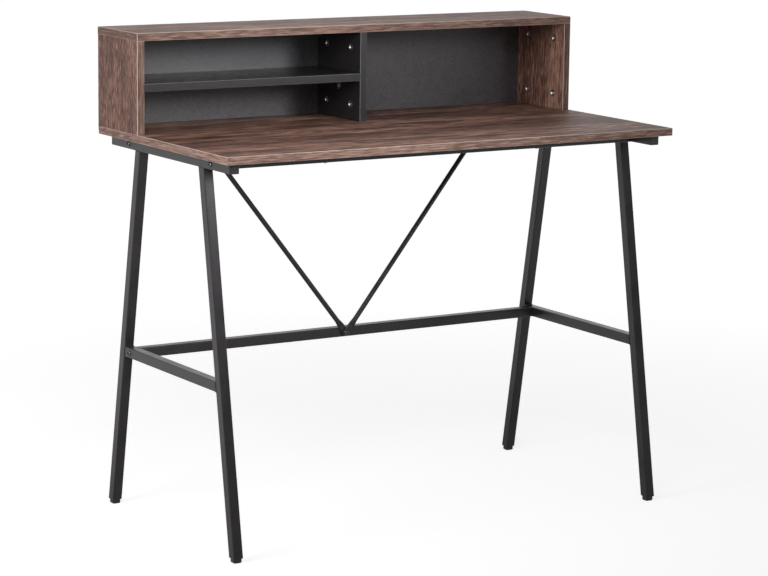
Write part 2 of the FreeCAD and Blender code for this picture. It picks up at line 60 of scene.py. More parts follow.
# %% Camera
image_width = 768
focal_pixels = 2799
sensor_width = 36
camera_place = Vector((-2.883, -4.6245, 1.414))
camera_azimuth = math.radians(31.91)
camera_elevation = math.radians(10.19)
camera_roll = math.radians(0.75)

camera_data = bpy.data.cameras.new("camera")
camera_data.sensor_width = sensor_width
camera_data.lens = sensor_width * focal_pixels / image_width
camera = bpy.data.objects.new("camera", camera_data)
turned = Matrix.Rotation(-camera_azimuth, 4, "Z")
tilted = Matrix.Rotation(math.pi / 2 - camera_elevation, 4, "X")
rolled = Matrix.Rotation(camera_roll, 4, "Z")
camera.matrix_world = Matrix.Translation(camera_place) @ turned @ tilted @ rolled
scene.collection.objects.link(camera)
scene.camera = camera
print("lens", round(camera_data.lens, 1), "mm")

# %% [markdown]
# Two helpers serve every finish below. One turns the sRGB hex colours that people write into the
# linear light that the renderer adds up. The other adds one node, sets its properties, fills each
# input with a value or a link, and hands back its output, so that a tree reads from top to bottom.

# %% Colour and node helpers
def linear(code):
    """An sRGB hex colour as linear light, by the numbers of the sRGB standard, with full alpha."""
    channels = [int(code[start:start + 2], 16) / 255 for start in (1, 3, 5)]
    light = [c / 12.92 if c <= 0.04045 else ((c + 0.055) / 1.055) ** 2.4 for c in channels]
    return light + [1.0]


def add(tree, kind, inputs=None, output=0, **settings):
    """Add a node with its settings, give its inputs values or links, and return an output."""
    node = tree.nodes.new(kind)
    for name, value in settings.items():
        setattr(node, name, value)
    for socket, value in (inputs or {}).items():
        if isinstance(value, bpy.types.NodeSocket):
            tree.links.new(value, node.inputs[socket])
        else:
            node.inputs[socket].default_value = value
    return node.outputs[output] if node.outputs else None


print("mid grey is", [round(c, 3) for c in linear("#808080")])

# %% [markdown]
# The desk stands in a plain white studio. The backdrop behind it is white, to the camera and in
# reflections, and the room behind the camera is dimmer: how far a ray points to the rear decides
# which of the two it meets. Real walls would throw light back on the desk. The world plays both and
# adds only a little light, so the boards keep their colour.

# %% Backdrop
scene.view_settings.view_transform = "Standard"
world_fill = 0.15
room_level = 0.35
room_until = -0.5
backdrop_from = 0.3
white = linear("#ffffff")


def seen_directly(tree):
    """One for what the camera, a reflection or a clear surface sees, and nought for diffuse light."""
    camera_ray = add(tree, "ShaderNodeLightPath", output="Is Camera Ray")
    others = camera_ray.node.outputs
    seen = add(tree, "ShaderNodeMath", {0: camera_ray, 1: others["Is Glossy Ray"]}, operation="MAXIMUM")
    return add(tree, "ShaderNodeMath", {0: seen, 1: others["Is Transmission Ray"]}, operation="MAXIMUM")


world = bpy.data.worlds.new("studio")
scene.world = world
world.use_nodes = True
tree = world.node_tree
tree.nodes.clear()
soft_light = add(tree, "ShaderNodeBackground", {"Color": white, "Strength": world_fill})
direction = add(tree, "ShaderNodeTexCoord", output="Generated")
rearward = add(tree, "ShaderNodeSeparateXYZ", {"Vector": direction}, "Y")
limits = {"From Min": room_until, "From Max": backdrop_from, "To Min": room_level, "To Max": 1.0}
room = add(tree, "ShaderNodeMapRange", {"Value": rearward, **limits})
to_camera = add(tree, "ShaderNodeLightPath", output="Is Camera Ray")
strength = add(tree, "ShaderNodeMath", {0: to_camera, 1: room}, operation="MAXIMUM")
white_wall = add(tree, "ShaderNodeBackground", {"Color": white, "Strength": strength})
studio = add(tree, "ShaderNodeMixShader", {0: seen_directly(tree), 1: soft_light, 2: white_wall})
add(tree, "ShaderNodeOutputWorld", {"Surface": studio})
print("backdrop", world.name)

# %% [markdown]
# Three lamps stand in for softboxes. The key stands close at the front left with its beam narrowed, so
# the light falls off along the desk and down the legs. One on the left lights the side of the hutch. A
# small one at the front right, with a narrower beam still, shines into the left bay, where the hutch
# top and the divider throw soft shadows.

# %% Lamps
desk_middle = (0, 0, 0.6)
desk_left = (-0.25, 0, 0.75)
left_bay = (-0.3, 0.26, 0.85)
lamps = {
    "key": {"place": (-1.2, -1.35, 1.6), "aim": desk_left, "size": 0.9, "spread": 72, "power": 2.9},
    "left": {"place": (-2.3, -0.5, 1.3), "aim": desk_middle, "size": 1.2, "spread": 180, "power": 22},
    "right": {"place": (0.75, -2.0, 1.5), "aim": left_bay, "size": 0.7, "spread": 36, "power": 1.7},
}
for name, lamp in lamps.items():
    data = bpy.data.lights.new(name, "AREA")
    data.shape = "DISK"
    data.size = lamp["size"]
    data.spread = math.radians(lamp["spread"])
    data.energy = lamp["power"]
    light = bpy.data.objects.new(name, data)
    light.location = lamp["place"]
    light.rotation_euler = (Vector(lamp["aim"]) - light.location).to_track_quat("-Z", "Y").to_euler()
    scene.collection.objects.link(light)
print("lamps", list(lamps))

# %% [markdown]
# The floor is a wide pale sheet. To the camera it is nearly white by itself, and the light on it
# adds the rest, so the soft shadow round the feet is all that shows of it. Far from the lamps the
# sheet glows a little more, as a lit backdrop does, so that it stays white up to the picture's edge.
# Reflections see it darker close to the desk, which shades it there. Each pair of values below is for
# reflections and for the camera, in that order.

# %% Floor
floor_half = 12
near_glow = (0.25, 0.8)
rise_starts = (0.35, 0.9)
rise_ends = (1.7, 2.6)
far_glow = 0.95
bounce_grey = linear("#dcdcdc")
shade_grey = linear("#b8b8b8")
floor_mesh = bpy.data.meshes.new("floor")
corners = [(x, y, 0) for x, y in ((-1, -1), (1, -1), (1, 1), (-1, 1))]
floor_mesh.from_pydata([Vector(corner) * floor_half for corner in corners], [], [(0, 1, 2, 3)])
floor = bpy.data.objects.new("floor", floor_mesh)
scene.collection.objects.link(floor)
paper = bpy.data.materials.new("studio_paper")
paper.use_nodes = True
tree = paper.node_tree
tree.nodes.clear()
bounce = add(tree, "ShaderNodeBsdfDiffuse", {"Color": bounce_grey})
shade = add(tree, "ShaderNodeBsdfDiffuse", {"Color": shade_grey})
place = add(tree, "ShaderNodeTexCoord", output="Object")
distance = add(tree, "ShaderNodeVectorMath", {0: place}, "Value", operation="LENGTH")
to_camera = add(tree, "ShaderNodeLightPath", output="Is Camera Ray")
limits = {"Value": distance, "To Max": far_glow}
pairs = {"From Min": rise_starts, "From Max": rise_ends, "To Min": near_glow}
for socket, (mirrored, seen) in pairs.items():
    choice = {"Value": to_camera, "To Min": mirrored, "To Max": seen}
    limits[socket] = add(tree, "ShaderNodeMapRange", choice)
strength = add(tree, "ShaderNodeMapRange", limits)
glow = add(tree, "ShaderNodeEmission", {"Color": white, "Strength": strength})
shown = add(tree, "ShaderNodeAddShader", {0: shade, 1: glow})
sheet = add(tree, "ShaderNodeMixShader", {0: seen_directly(tree), 1: bounce, 2: shown})
add(tree, "ShaderNodeOutputMaterial", {"Surface": sheet})
floor_mesh.materials.append(paper)
print("floor", 2 * floor_half, "m wide")

# %% [markdown]
# Every finish starts and ends the same way. It starts with the place of each point in metres: the
# objects all sit at the origin, so that is the place on the real desk, and a pattern size in
# millimetres can be used as it is. It ends with a surface that takes a colour, a roughness and a
# relief. Most patterns between are patches: noise, drawn out along the grain, of which a soft step
# picks the strong part.

# %% Finish helpers
def new_finish(name):
    """An empty material, its tree, and the place of each point on the desk."""
    material = bpy.data.materials.new(name)
    material.use_nodes = True
    tree = material.node_tree
    tree.nodes.clear()
    return material, tree, add(tree, "ShaderNodeTexCoord", output="Object")


def patches(tree, place, length, width, low=0.35, high=0.65, least=0.0, most=1.0, detail=2.0):
    """Patches this long along X and this wide, in millimetres, rising from least to most."""
    per_patch = (1 / (length * MM), 1 / (width * MM), 1 / (width * MM))
    stretched = add(tree, "ShaderNodeVectorMath", {0: place, 1: per_patch}, operation="MULTIPLY")
    noise = add(tree, "ShaderNodeTexNoise", {"Vector": stretched, "Scale": 1.0, "Detail": detail})
    limits = {"Value": noise, "From Min": low, "From Max": high, "To Min": least, "To Max": most}
    return add(tree, "ShaderNodeMapRange", limits, interpolation_type="SMOOTHSTEP")


def surface(tree, colour, roughness, height, depth, **constants):
    """Close a finish with its colour, roughness, and a relief this deep in millimetres."""
    relief = add(tree, "ShaderNodeBump", {"Height": height, "Distance": depth * MM, "Strength": 1.0})
    sockets = {"Base Color": colour, "Roughness": roughness, "Normal": relief, **constants}
    shader = add(tree, "ShaderNodeBsdfPrincipled", sockets)
    add(tree, "ShaderNodeOutputMaterial", {"Surface": shader})


print("finish helpers are ready")

# %% [markdown]
# The boards are particle board under a printed and embossed walnut paper. The eye sees broad bands
# of light and dark along the grain, narrower dark streaks that wander, short veins, dark fibres, fine
# pale lines and open pores. Each is the same drawn-out noise at its own size in millimetres, bent a
# little so that the streaks run together and part as in a plain-sawn board. Fibres and pores are finer
# than this in truth, and are drawn as coarse as they need to be to show. The figure of a board is how
# strongly its streaks and veins show.

# %% Walnut print
bend_reach = 7 * MM
bend_pattern = {"length": 300, "width": 90, "low": 0.25, "high": 0.75, "detail": 1.0}
band_pattern = {"length": 600, "width": 110, "low": 0.36, "high": 0.64}
streak_pattern = {"length": 240, "width": 28, "low": 0.46, "high": 0.62, "detail": 3.0}
vein_pattern = {"length": 45, "width": 8, "low": 0.5, "high": 0.6, "detail": 3.0}
fibre_pattern = {"width": 3.0, "low": 0.42, "high": 0.64, "most": 0.7, "detail": 3.0}
line_pattern = {"width": 2.4, "low": 0.5, "high": 0.66, "most": 0.6, "detail": 3.0}
pore_pattern = {"length": 11, "width": 0.9, "low": 0.6, "high": 0.72, "most": 0.6}
streak_strength = 0.85
vein_strength = 0.65
line_per_fibre = 1.2
paper_roughness = {"To Min": 0.5, "To Max": 0.62}


def walnut_print(tree, place, tones, figure, fibre_length):
    """Colour, roughness and relief of walnut paper; tones are light, mid, dark, pale line and pore."""
    light, mid, dark, pale, hole = (linear(tone) for tone in tones)
    sideways = patches(tree, place, least=-bend_reach, most=bend_reach, **bend_pattern)
    bend = add(tree, "ShaderNodeCombineXYZ", {"Y": sideways, "Z": sideways})
    bent = add(tree, "ShaderNodeVectorMath", {0: place, 1: bend}, operation="ADD")
    band = patches(tree, bent, **band_pattern)
    streak = patches(tree, bent, most=streak_strength * figure, **streak_pattern)
    vein = patches(tree, bent, most=vein_strength * figure, **vein_pattern)
    fibre = patches(tree, bent, fibre_length, **fibre_pattern)
    line = patches(tree, bent, line_per_fibre * fibre_length, **line_pattern)
    pore = patches(tree, bent, **pore_pattern)
    colour = add(tree, "ShaderNodeMix", {0: band, 6: light, 7: mid}, 2, data_type="RGBA")
    for share, tone in ((streak, dark), (vein, dark), (line, pale), (fibre, dark), (pore, hole)):
        colour = add(tree, "ShaderNodeMix", {0: share, 6: colour, 7: tone}, 2, data_type="RGBA")
    roughness = add(tree, "ShaderNodeMapRange", {"Value": fibre, **paper_roughness})
    height = add(tree, "ShaderNodeMath", {0: 1.0, 1: pore}, operation="SUBTRACT")
    return colour, roughness, height


print("the print's streaks bend by up to", bend_reach / MM, "mm")

# %% [markdown]
# Each board takes its print from its own part of the sheet, so no two show the same figure. The grain
# runs along the tabletop and the hutch top, and up the sides, so a Mapping node turns it. The sides
# have shorter fibres and a weaker figure.

# %% Walnut boards
along_x = (0, 0, 0)
along_y = (0, 0, math.pi / 2)
along_z = (0, math.pi / 2, 0)
walnut_tones = ("#b88d7b", "#7b5648", "#331a10", "#bb9788", "#2c170f")
laminate_coat = {"IOR": 1.5, "Specular IOR Level": 0.3}
board_pore_depth = 0.08


def walnut_board(name, turn, shift, figure, fibre_length):
    """A walnut board; its print is turned along its grain and cut from its own part of the sheet."""
    material, tree, place = new_finish(name)
    cut = add(tree, "ShaderNodeMapping", {"Vector": place, "Rotation": turn, "Location": shift})
    colour, roughness, height = walnut_print(tree, cut, walnut_tones, figure, fibre_length)
    surface(tree, colour, roughness, height, board_pore_depth, **laminate_coat)
    return material


finishes = {
    "tabletop": walnut_board("walnut_laminate_tabletop", along_x,
                             shift=(4.6, 3.1, 0.0), figure=1.0, fibre_length=80),
    "hutch_top": walnut_board("walnut_laminate_hutch_top", along_x,
                              shift=(0.7, 0.5, 0.0), figure=0.8, fibre_length=80),
    "hutch_left_side": walnut_board("walnut_laminate_left_side", along_z,
                                    shift=(0.3, 1.2, 0.0), figure=0.65, fibre_length=17),
    "hutch_right_side": walnut_board("walnut_laminate_right_side", along_z,
                                     shift=(0.9, 2.2, 0.0), figure=0.45, fibre_length=24),
}
print("walnut boards", list(finishes))

# %% [markdown]
# The edges are closed with a plastic strip that carries the same print in more even tones. Its
# corners are trimmed at a slant, and there the plain pale core of the strip shows. Its tone is painted
# paler than the core alone, a painted highlight, so it draws the thin light line that outlines every
# board. The print is only on faces that look straight out, so the facing of each face decides between
# print and core. The tabletop's strip keeps its print on two kinds of corner: the upright ones, and
# those along the rear, behind the back panel.

# %% Walnut edge strips
# The core tone is paler than the real core: partly a painted highlight on the trimmed corners.
pale_core_and_highlight = linear("#cdbbae")
strip_end = 499 * MM
strip_stretch = (0.45, 1, 1)
strip_figure = 0.4
strip_fibre = 14
strip_pore_depth = 0.05
straight_out = 0.9
any_tilt = -1.0
clear_tilt = 0.3
rear_strip = 250 * MM
behind_desk = 1.0


def trimmed_share(tree, least_tilt=any_tilt):
    """One on the slanting faces of a strip that tilt up or down at least this much, else nought."""
    facing = add(tree, "ShaderNodeNewGeometry", output="True Normal")
    share = add(tree, "ShaderNodeVectorMath", {0: facing}, operation="ABSOLUTE")
    sideways = add(tree, "ShaderNodeSeparateXYZ", {"Vector": share}, "X")
    forward, upward = (sideways.node.outputs[axis] for axis in "YZ")
    outward = add(tree, "ShaderNodeMath", {0: sideways, 1: forward}, operation="MAXIMUM")
    slanting = add(tree, "ShaderNodeMath", {0: outward, 1: straight_out}, operation="LESS_THAN")
    tilted = add(tree, "ShaderNodeMath", {0: upward, 1: least_tilt}, operation="GREATER_THAN")
    return add(tree, "ShaderNodeMath", {0: slanting, 1: tilted}, operation="MULTIPLY")


def walnut_strip(name, tones, turn, end_turn, core_until=behind_desk, least_tilt=any_tilt):
    """An edge strip; its print turns at the left and right ends, and its pale core, partly a painted
    highlight, shows up to a depth.
    """
    material, tree, place = new_finish(name)
    main = add(tree, "ShaderNodeMapping", {"Vector": place, "Rotation": turn})
    ends = add(tree, "ShaderNodeMapping", {"Vector": place, "Rotation": end_turn})
    across = add(tree, "ShaderNodeSeparateXYZ", {"Vector": place}, "X")
    distance = add(tree, "ShaderNodeMath", {0: across}, operation="ABSOLUTE")
    at_end = add(tree, "ShaderNodeMath", {0: distance, 1: strip_end}, operation="GREATER_THAN")
    run = add(tree, "ShaderNodeMix", {0: at_end, 4: main, 5: ends}, 1, data_type="VECTOR")
    run = add(tree, "ShaderNodeVectorMath", {0: run, 1: strip_stretch}, operation="MULTIPLY")
    colour, roughness, height = walnut_print(tree, run, tones, strip_figure, strip_fibre)
    depth = add(tree, "ShaderNodeSeparateXYZ", {"Vector": place}, "Y")
    in_front = add(tree, "ShaderNodeMath", {0: depth, 1: core_until}, operation="LESS_THAN")
    trimmed = trimmed_share(tree, least_tilt)
    # Trimmed corners in front of that depth take the pale core tone, which is partly a painted
    # highlight.
    bare = add(tree, "ShaderNodeMath", {0: trimmed, 1: in_front}, operation="MULTIPLY")
    colour = add(tree, "ShaderNodeMix", {0: bare, 6: colour, 7: pale_core_and_highlight}, 2, data_type="RGBA")
    surface(tree, colour, roughness, height, strip_pore_depth, **laminate_coat)
    return material


# The hutch's strips take a darker copy of the same print, a painted shade for the weaker light on them;
# the tabletop's strip takes the lighter copy.
lit_strip_tones = ("#a28275", "#806256", "#563b31", "#bda194", "#4d372f")
shaded_strip_tones = ("#8e7064", "#6e5348", "#4b332a", "#a98d81", "#422f28")
finishes.update({
    "tabletop_edge_bands": walnut_strip("walnut_edge_strip_tabletop", lit_strip_tones, along_x, along_y,
                                        core_until=rear_strip, least_tilt=clear_tilt),
    "hutch_top_edge_bands": walnut_strip("walnut_edge_strip_hutch_top", shaded_strip_tones, along_x, along_y),
    "hutch_side_edge_bands": walnut_strip("walnut_edge_strip_upright", shaded_strip_tones, along_z, along_z),
})
print("edge strips on", [node for node in finishes if node.endswith("bands")])

# %% [markdown]
# The divider and the shelf are black melamine boards: nearly black, satin, with a fine embossed
# grain that catches light at a low angle. Their front strips are plain black plastic with a
# smoother face, whitened a little where the corners were trimmed; that pale tone is also a painted
# highlight along those corners. The back panel is thin hardboard with a black print, paler than the
# melamine because its fibres show through.

# %% Black boards
mottle_size = 14
grain_step = {"low": 0.4, "high": 0.75}


def black_board(name, tones, matt, satin, grit, depth, core=None):
    """A mottled black sheet with an embossed grain in millimetres, or a strip with a pale core tone on
    its trimmed corners, partly a painted highlight.
    """
    material, tree, place = new_finish(name)
    dark, mid, pale = (linear(tone) for tone in tones)
    mottle = patches(tree, place, mottle_size, mottle_size, detail=4.0)
    grain = patches(tree, place, grit, grit, **grain_step)
    colour = add(tree, "ShaderNodeMix", {0: mottle, 6: dark, 7: mid}, 2, data_type="RGBA")
    colour = add(tree, "ShaderNodeMix", {0: grain, 6: colour, 7: pale}, 2, data_type="RGBA")
    # The pale core on trimmed corners is partly whitened plastic and partly a painted highlight.
    if core:
        inputs = {0: trimmed_share(tree), 6: colour, 7: linear(core)}
        colour = add(tree, "ShaderNodeMix", inputs, 2, data_type="RGBA")
    roughness = add(tree, "ShaderNodeMapRange", {"Value": mottle, "To Min": satin, "To Max": matt})
    surface(tree, colour, roughness, grain, depth, IOR=1.5)
    return material


black_melamine = black_board("black_melamine", ("#1f1c1e", "#242123", "#2b282a"),
                             matt=0.36, satin=0.28, grit=1.6, depth=0.05)
black_strip = black_board("black_edge_strip", ("#121012", "#171517", "#1e1c1e"),
                          # The strip's grey core tone is partly a painted highlight on its trimmed
                          # corners.
                          matt=0.31, satin=0.29, grit=1.2, depth=0.02, core="#716e71")
black_hardboard = black_board("black_hardboard", ("#3f3c40", "#484549", "#545155"),
                              matt=0.44, satin=0.38, grit=2.6, depth=0.06)
finishes.update({"hutch_divider": black_melamine, "hutch_shelf": black_melamine,
                 "divider_edge_band": black_strip, "shelf_edge_band": black_strip,
                 "hutch_back_panel": black_hardboard})
print("black boards", black_melamine.name, black_strip.name, black_hardboard.name)

# %% [markdown]
# The tubes and rods are mild steel under a baked powder coat. The powder melts into a satin skin
# with a faint orange peel, so reflections are soft and slightly uneven. The real peel is about a
# millimetre across, and it is drawn at a millimetre and a half so that it can show.

# %% Black powder coat
peel_pattern = {"length": 1.5, "width": 1.5, "low": 0.2, "high": 0.8, "detail": 1.0}
drift_pattern = {"length": 45, "width": 45, "detail": 3.0}
coat_roughness = {"To Min": 0.3, "To Max": 0.37}
peel_depth = 0.02


def powder_coat(name, tones):
    """A satin black coat whose sheen drifts slowly along the tube."""
    material, tree, place = new_finish(name)
    dark, pale = (linear(tone) for tone in tones)
    peel = patches(tree, place, **peel_pattern)
    drift = patches(tree, place, **drift_pattern)
    colour = add(tree, "ShaderNodeMix", {0: drift, 6: dark, 7: pale}, 2, data_type="RGBA")
    roughness = add(tree, "ShaderNodeMapRange", {"Value": drift, **coat_roughness})
    surface(tree, colour, roughness, peel, peel_depth, IOR=1.42)
    return material


coated_steel = powder_coat("black_powder_coat", ("#242024", "#2c282c"))
members = ["front_crossbar", "rear_crossbar", "lower_crossbar", "left_brace_rod", "right_brace_rod"]
for side in ("left", "right"):
    members += [f"{side}_top_rail", f"{side}_side_rung", f"front_{side}_leg", f"rear_{side}_leg"]
finishes.update({member: coated_steel for member in members})
print("coated members", len(members))

# %% [markdown]
# The feet and rail caps are moulded polyethylene: black, waxy, with the fine grain of a sparked mould.
# Spark marks are under half a millimetre in truth, and are drawn a little coarser so that they can show.

# %% Black polyethylene
spark_pattern = {"length": 0.8, "width": 0.8, "low": 0.3, "high": 0.7}
plastic_roughness = {"To Min": 0.4, "To Max": 0.55}
spark_depth = 0.02


def moulded_plastic(name, tones):
    """A waxy black plastic with the grain of its mould."""
    material, tree, place = new_finish(name)
    dark, pale = (linear(tone) for tone in tones)
    spark = patches(tree, place, **spark_pattern)
    colour = add(tree, "ShaderNodeMix", {0: spark, 6: dark, 7: pale}, 2, data_type="RGBA")
    roughness = add(tree, "ShaderNodeMapRange", {"Value": spark, **plastic_roughness})
    surface(tree, colour, roughness, spark, spark_depth, IOR=1.51)
    return material


plastic = moulded_plastic("black_polyethylene", ("#111112", "#1c1c1e"))
print("plastic", plastic.name)

# %% [markdown]
# The cams are bare zinc castings, dull and slightly pitted. Screws, nails, brackets and plates are
# steel with bright zinc plating, and the frame's bolts and nuts are blackened steel. One recipe serves
# all three, with other tones, sheen and pits. The pits, too, are drawn a little coarser than they are.

# %% Zinc and blackened steel
pit_step = {"low": 0.3, "high": 0.7}


def bare_metal(name, tones, matt, satin, cloud_size, pit_size, depth):
    """A metal with cloudy tones, and pits of this size and depth in millimetres."""
    material, tree, place = new_finish(name)
    dark, pale = (linear(tone) for tone in tones)
    cloud = patches(tree, place, cloud_size, cloud_size, detail=3.0)
    pits = patches(tree, place, pit_size, pit_size, **pit_step)
    colour = add(tree, "ShaderNodeMix", {0: cloud, 6: dark, 7: pale}, 2, data_type="RGBA")
    roughness = add(tree, "ShaderNodeMapRange", {"Value": pits, "To Min": satin, "To Max": matt})
    surface(tree, colour, roughness, pits, depth, Metallic=1.0)
    return material


cast_zinc = bare_metal("cast_zinc", ("#b4b2ad", "#c8c6c1"),
                       matt=0.45, satin=0.28, cloud_size=6, pit_size=0.6, depth=0.03)
zinc_plate = bare_metal("zinc_plated_steel", ("#b9bcc0", "#cfd0cd"),
                        matt=0.34, satin=0.2, cloud_size=4, pit_size=0.5, depth=0.01)
black_oxide = bare_metal("black_oxide_steel", ("#4c4c4e", "#5e5e60"),
                         matt=0.35, satin=0.25, cloud_size=4, pit_size=0.6, depth=0.01)
finishes.update({"cam_bolts": zinc_plate, "crossbar_end_plates": zinc_plate})
print("metals", cast_zinc.name, zinc_plate.name, black_oxide.name)

# %% [markdown]
# The dowels hide in the boards, but they are beech all the same: pale wood with short dark flecks.

# %% Beech
fleck_pattern = {"length": 5, "width": 0.7, "low": 0.4, "high": 0.7}
beech_roughness = {"To Min": 0.55, "To Max": 0.7}
fleck_depth = 0.03


def turned_beech(name, tones):
    """Beech with short dark flecks that run upwards."""
    material, tree, place = new_finish(name)
    pale, dark = (linear(tone) for tone in tones)
    cut = add(tree, "ShaderNodeMapping", {"Vector": place, "Rotation": along_z})
    fleck = patches(tree, cut, **fleck_pattern)
    colour = add(tree, "ShaderNodeMix", {0: fleck, 6: pale, 7: dark}, 2, data_type="RGBA")
    roughness = add(tree, "ShaderNodeMapRange", {"Value": fleck, **beech_roughness})
    surface(tree, colour, roughness, fleck, fleck_depth)
    return material


dowel_wood = turned_beech("beech", ("#d2a878", "#a97c50"))
finishes.update({"upright_dowels": dowel_wood, "shelf_dowels": dowel_wood})
print("dowels", dowel_wood.name)

# %% [markdown]
# Boards, strips, tubes and rods keep their CAD shape, because it is already right. Only what is in
# their material slots is exchanged.

# %% Dress the CAD nodes
for node, finish in finishes.items():
    for slot in nodes[node].material_slots:
        slot.material = finish
print("dressed", len(finishes), "of", len(nodes))

# %% [markdown]
# Bolts, screws, nails and cams come in groups, and each group is one CAD node. Their places are read
# from that node, so nothing is measured twice: a merged copy of its mesh falls apart into separate
# solids, and each solid has a box. A fitting faces along one axis, its seat is where its head ends,
# and what is left of the box is its reach into the wood or steel.

# %% Places of the fittings
merge_distance = 0.001 * MM
order_digits = 5


def solids_of(node):
    """Boxes of the separate solids of a CAD node, in a fixed order."""
    merged = bmesh.new()
    merged.from_mesh(nodes[node].data)
    bmesh.ops.remove_doubles(merged, verts=merged.verts, dist=merge_distance)
    unseen = set(merged.verts)
    boxes = []
    while unseen:
        island = [unseen.pop()]
        for vert in island:
            for edge in vert.link_edges:
                other = edge.other_vert(vert)
                if other in unseen:
                    unseen.remove(other)
                    island.append(other)
        low = Vector([min(vert.co[axis] for vert in island) for axis in range(3)])
        high = Vector([max(vert.co[axis] for vert in island) for axis in range(3)])
        boxes.append((low, high))
    merged.free()
    return sorted(boxes, key=lambda box: [round(value, order_digits) for value in box[0]])


def seats_of(node, head_height, facing_of):
    """A mesh of one point for each solid of a node, with its facing and its reach."""
    boxes = solids_of(node)
    mesh = bpy.data.meshes.new(f"{node}_seats")
    mesh.from_pydata([(0, 0, 0)] * len(boxes), [], [])
    mesh.attributes.new("facing", "FLOAT_VECTOR", "POINT")
    mesh.attributes.new("reach", "FLOAT", "POINT")
    for index, (low, high) in enumerate(boxes):
        outward = Vector(facing_of(low, high))
        axis = max(range(3), key=lambda candidate: abs(outward[candidate]))
        length = (high - low)[axis]
        mesh.vertices[index].co = (low + high) / 2 + outward * (length / 2 - head_height)
        mesh.attributes["facing"].data[index].vector = outward
        mesh.attributes["reach"].data[index].value = length - head_height
    return mesh


print("crossbar bolts", len(solids_of("crossbar_bolts")), "cams", len(solids_of("cam_locks")))

# %% [markdown]
# Three steps are the same for every tree. A new tree gets a named input for each size. Fittings are
# set on points, turned to face outwards and spun by a random but fixed angle, as a hand leaves them.
# At the end, rounds are shaded smooth, corners stay sharp, and the finish is set.

# %% Tree helpers
spin_seed = 7
corner_angle = math.radians(28)


def new_tree(name, sizes):
    """A Geometry Nodes tree with a named input for each size, and one for the finish."""
    tree = bpy.data.node_groups.new(name, "GeometryNodeTree")
    tree.is_modifier = True
    tree.interface.new_socket("Geometry", in_out="OUTPUT", socket_type="NodeSocketGeometry")
    tree.interface.new_socket("Geometry", in_out="INPUT", socket_type="NodeSocketGeometry")
    for size in sizes:
        tree.interface.new_socket(size, in_out="INPUT", socket_type="NodeSocketFloat")
    tree.interface.new_socket("Finish", in_out="INPUT", socket_type="NodeSocketMaterial")
    return tree, tree.nodes.new("NodeGroupInput").outputs


def outward_turn(tree):
    """The turn that makes a fitting face outwards, with a spin of its own."""
    facing = add(tree, "GeometryNodeInputNamedAttribute", {"Name": "facing"}, data_type="FLOAT_VECTOR")
    turn = add(tree, "FunctionNodeAlignRotationToVector", {"Vector": facing}, axis="Z")
    limits = {2: 0.0, 3: math.tau, "Seed": spin_seed}
    angle = add(tree, "FunctionNodeRandomValue", limits, 1, data_type="FLOAT")
    spin = add(tree, "FunctionNodeAxisAngleToRotation", {"Axis": (0, 0, 1), "Angle": angle})
    return add(tree, "FunctionNodeRotateRotation", {0: turn, 1: spin}, rotation_space="LOCAL")


def close_tree(tree, inputs, mesh):
    """Make instances real, smooth the rounds, keep the corners sharp and set the finish."""
    real = add(tree, "GeometryNodeRealizeInstances", {0: mesh})
    smooth = add(tree, "GeometryNodeSetShadeSmooth", {0: real, "Shade Smooth": True}, domain="FACE")
    angle = add(tree, "GeometryNodeInputMeshEdgeAngle")
    corner = add(tree, "FunctionNodeCompare", {0: angle, 1: corner_angle}, operation="GREATER_THAN")
    choice = {0: smooth, "Selection": corner, "Shade Smooth": False}
    sharp = add(tree, "GeometryNodeSetShadeSmooth", choice, domain="EDGE")
    done = add(tree, "GeometryNodeSetMaterial", {0: sharp, "Material": inputs["Finish"]})
    add(tree, "NodeGroupOutput", {0: done})


print("tree helpers are ready")

# %% [markdown]
# A tree could stay on its piece as a modifier, but a piece has to be a plain mesh before it rides on
# the desk. So each tree is run once, with its sizes set by the sockets' identifiers, and its result is
# kept in place of the points or lines that it started from.

# %% Run a tree
def grow(name, mesh, tree, finish, slot, sizes):
    """Run a tree on a mesh, keep its result as a plain mesh, and let it ride on the desk."""
    piece = bpy.data.objects.new(name, mesh)
    scene.collection.objects.link(piece)
    modifier = piece.modifiers.new("tree", "NODES")
    modifier.node_group = tree
    values = {size: value * MM for size, value in sizes.items()}
    values["Finish"] = finish
    for socket in tree.interface.items_tree:
        if socket.in_out == "INPUT" and socket.name in values:
            modifier[socket.identifier] = values[socket.name]
    graph = bpy.context.evaluated_depsgraph_get()
    result = bpy.data.meshes.new_from_object(piece.evaluated_get(graph))
    piece.modifiers.clear()
    piece.data = result
    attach(piece, "root")
    print(name, len(result.polygons), "faces")
    return piece


print("trees can be run")

# %% [markdown]
# Bolts take a hexagon key and screws a cross, and both recesses are cut from a head by other meshes.
# One slot of a cross is a little shallower than the other, so that their floors never lie in one plane
# and the cut stays clean.

# %% Recesses
fitting_sizes = ("Head radius", "Head height", "Dome radius", "Recess radius", "Recess depth",
                 "Shank radius")
hexagon_sides = 6
cross_arm_share = 0.44
second_slot_share = 0.94


